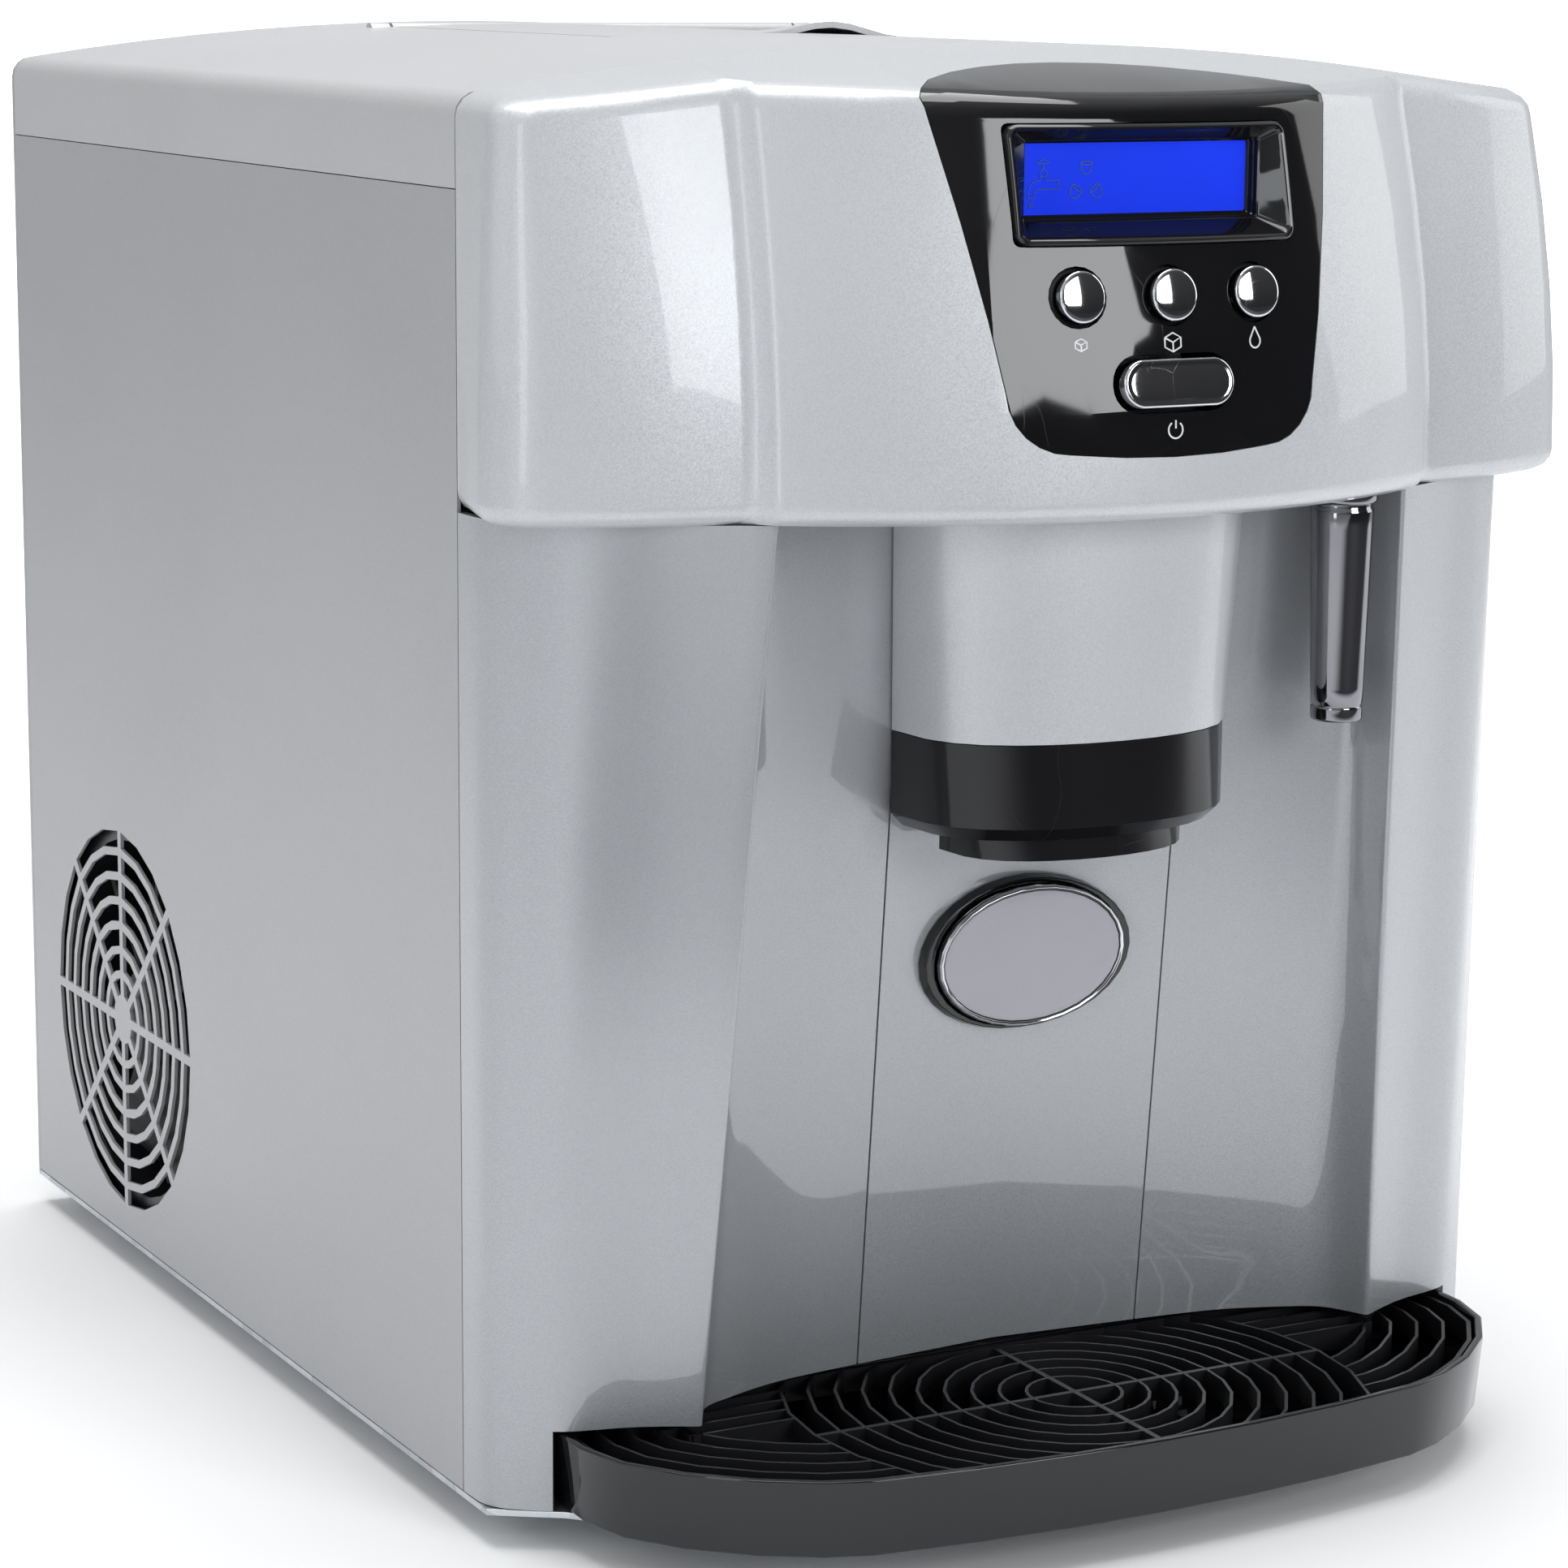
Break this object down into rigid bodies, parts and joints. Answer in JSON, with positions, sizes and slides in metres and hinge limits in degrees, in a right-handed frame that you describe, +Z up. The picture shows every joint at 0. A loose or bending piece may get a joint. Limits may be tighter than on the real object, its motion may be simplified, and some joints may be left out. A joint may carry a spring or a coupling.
{
  "type": "ice cube maker",
  "caption": "Bench-top ice cube maker with a bowed front, display, ice chute, water nozzle, oval push button and a drip tray with a ring grille.",
  "frame": {"origin": "middle of the bottom of the box around the part", "axes": "+Z up, -Y towards the front with the controls, +X to the viewer's right"},
  "size_m": [0.358, 0.4984, 0.4296],
  "materials": {
    "side_paint": "satin",
    "silver_gloss": "gloss",
    "silver_satin": "satin",
    "black_gloss": "gloss",
    "black_matt": "matte",
    "chrome": "polished",
    "button_grey": "matte",
    "display_blue": "gloss",
    "rubber": "matte",
    "zinc": "satin",
    "copper": "satin",
    "white_plastic": "satin",
    "board_green": "satin"
  },
  "bodies": {
    "cabinet": {"base_pan": "zinc", "foot_front_left": "rubber", "foot_front_right": "rubber", "foot_back_left": "rubber", "foot_back_right": "rubber", "left_side_panel": "side_paint", "right_side_panel": "side_paint", "back_panel": "side_paint", "mains_inlet": "black_matt", "top_cover": "side_paint", "lid_hinge_rod": "zinc", "upper_front_housing": "silver_gloss", "control_panel": "black_gloss", "display_frame": "black_gloss", "display_screen": "display_blue", "display_board": "board_green", "lower_front_panel": "silver_satin", "niche_panel": "silver_satin", "chute_barrel": "silver_gloss", "chute_collar": "black_gloss", "water_nozzle": "chrome", "dispense_bezel": "black_gloss", "dispense_switch": "black_matt", "inner_frame": "zinc", "water_tank": "white_plastic", "tray_bracket_left": "white_plastic", "tray_bracket_right": "white_plastic", "tray_motor": "black_matt", "evaporator": "copper", "ice_ramp": "white_plastic", "ice_bin": "white_plastic", "auger_motor": "black_matt", "water_pump": "black_matt", "suction_hose": "white_plastic", "water_hose": "white_plastic", "compressor": "black_matt", "compressor_mount_1": "rubber", "compressor_mount_2": "rubber", "compressor_mount_3": "rubber", "condenser": "zinc", "suction_pipe": "copper", "discharge_pipe": "copper", "fan_frame": "black_matt", "fan_motor": "zinc", "circuit_board": "board_green"},
    "lid": {"top_lid": "side_paint"},
    "small_button": {"button_small": "chrome"},
    "large_button": {"button_large": "chrome"},
    "water_button": {"button_water": "chrome"},
    "on_off_button": {"button_on_off": "chrome"},
    "dispense_push": {"dispense_button": "button_grey", "dispense_ring": "chrome"},
    "tray": {"drip_tray": "black_gloss", "drip_grille": "black_matt"},
    "fan": {"fan_rotor": "black_matt"},
    "screw": {"auger": "white_plastic"},
    "freezing": {"freezing_tray": "white_plastic"},
    "pusher": {"ice_pusher": "white_plastic"},
    "plug": {"drain_plug": "black_matt"}
  },
  "joints": [
    {"name": "lid_hinge", "type": "hinge", "parent": "cabinet", "child": "lid", "pos_m": [0.03, 0.19425, 0.423], "axis": [-1, 0, 0], "range_deg": [0, 100]},
    {"name": "small_press", "type": "slide", "parent": "cabinet", "child": "small_button", "axis": [0, 0.9888, -0.149], "range_m": [0, 0.0012], "stiffness_N_per_m": 600, "springref_m": -0.001},
    {"name": "large_press", "type": "slide", "parent": "cabinet", "child": "large_button", "axis": [0, 0.9888, -0.149], "range_m": [0, 0.0012], "stiffness_N_per_m": 600, "springref_m": -0.001},
    {"name": "water_press", "type": "slide", "parent": "cabinet", "child": "water_button", "axis": [0, 0.9888, -0.149], "range_m": [0, 0.0012], "stiffness_N_per_m": 600, "springref_m": -0.001},
    {"name": "on_off_press", "type": "slide", "parent": "cabinet", "child": "on_off_button", "axis": [0, 1, 0], "range_m": [0, 0.0012], "stiffness_N_per_m": 600, "springref_m": -0.001},
    {"name": "dispense_press", "type": "slide", "parent": "cabinet", "child": "dispense_push", "axis": [0, 1, 0], "range_m": [0, 0.005], "stiffness_N_per_m": 500, "springref_m": -0.003},
    {"name": "tray_pull", "type": "slide", "parent": "cabinet", "child": "tray", "axis": [0, -1, 0], "range_m": [0, 0.105]},
    {"name": "fan_spin", "type": "hinge", "parent": "cabinet", "child": "fan", "pos_m": [-0.168, 0.14795, 0.0891], "axis": [1, 0, 0], "continuous": true},
    {"name": "auger_spin", "type": "hinge", "parent": "cabinet", "child": "screw", "pos_m": [0, -0.13975, 0.3286], "axis": [0, 1, 0], "continuous": true},
    {"name": "freezing_tilt", "type": "hinge", "parent": "cabinet", "child": "freezing", "pos_m": [0.03, 0.09525, 0.364], "axis": [1, 0, 0], "range_deg": [0, 60]},
    {"name": "pusher_slide", "type": "slide", "parent": "cabinet", "child": "pusher", "axis": [0, -0.9987, -0.0508], "range_m": [0, 0.07]},
    {"name": "plug_pull", "type": "slide", "parent": "cabinet", "child": "plug", "axis": [0, 1, 0], "range_m": [0, 0.02]}
  ],
  "couplings": [
    {"joint": "pusher_slide", "follows": "freezing_tilt", "m_per_rad": 0.0668}
  ]
}
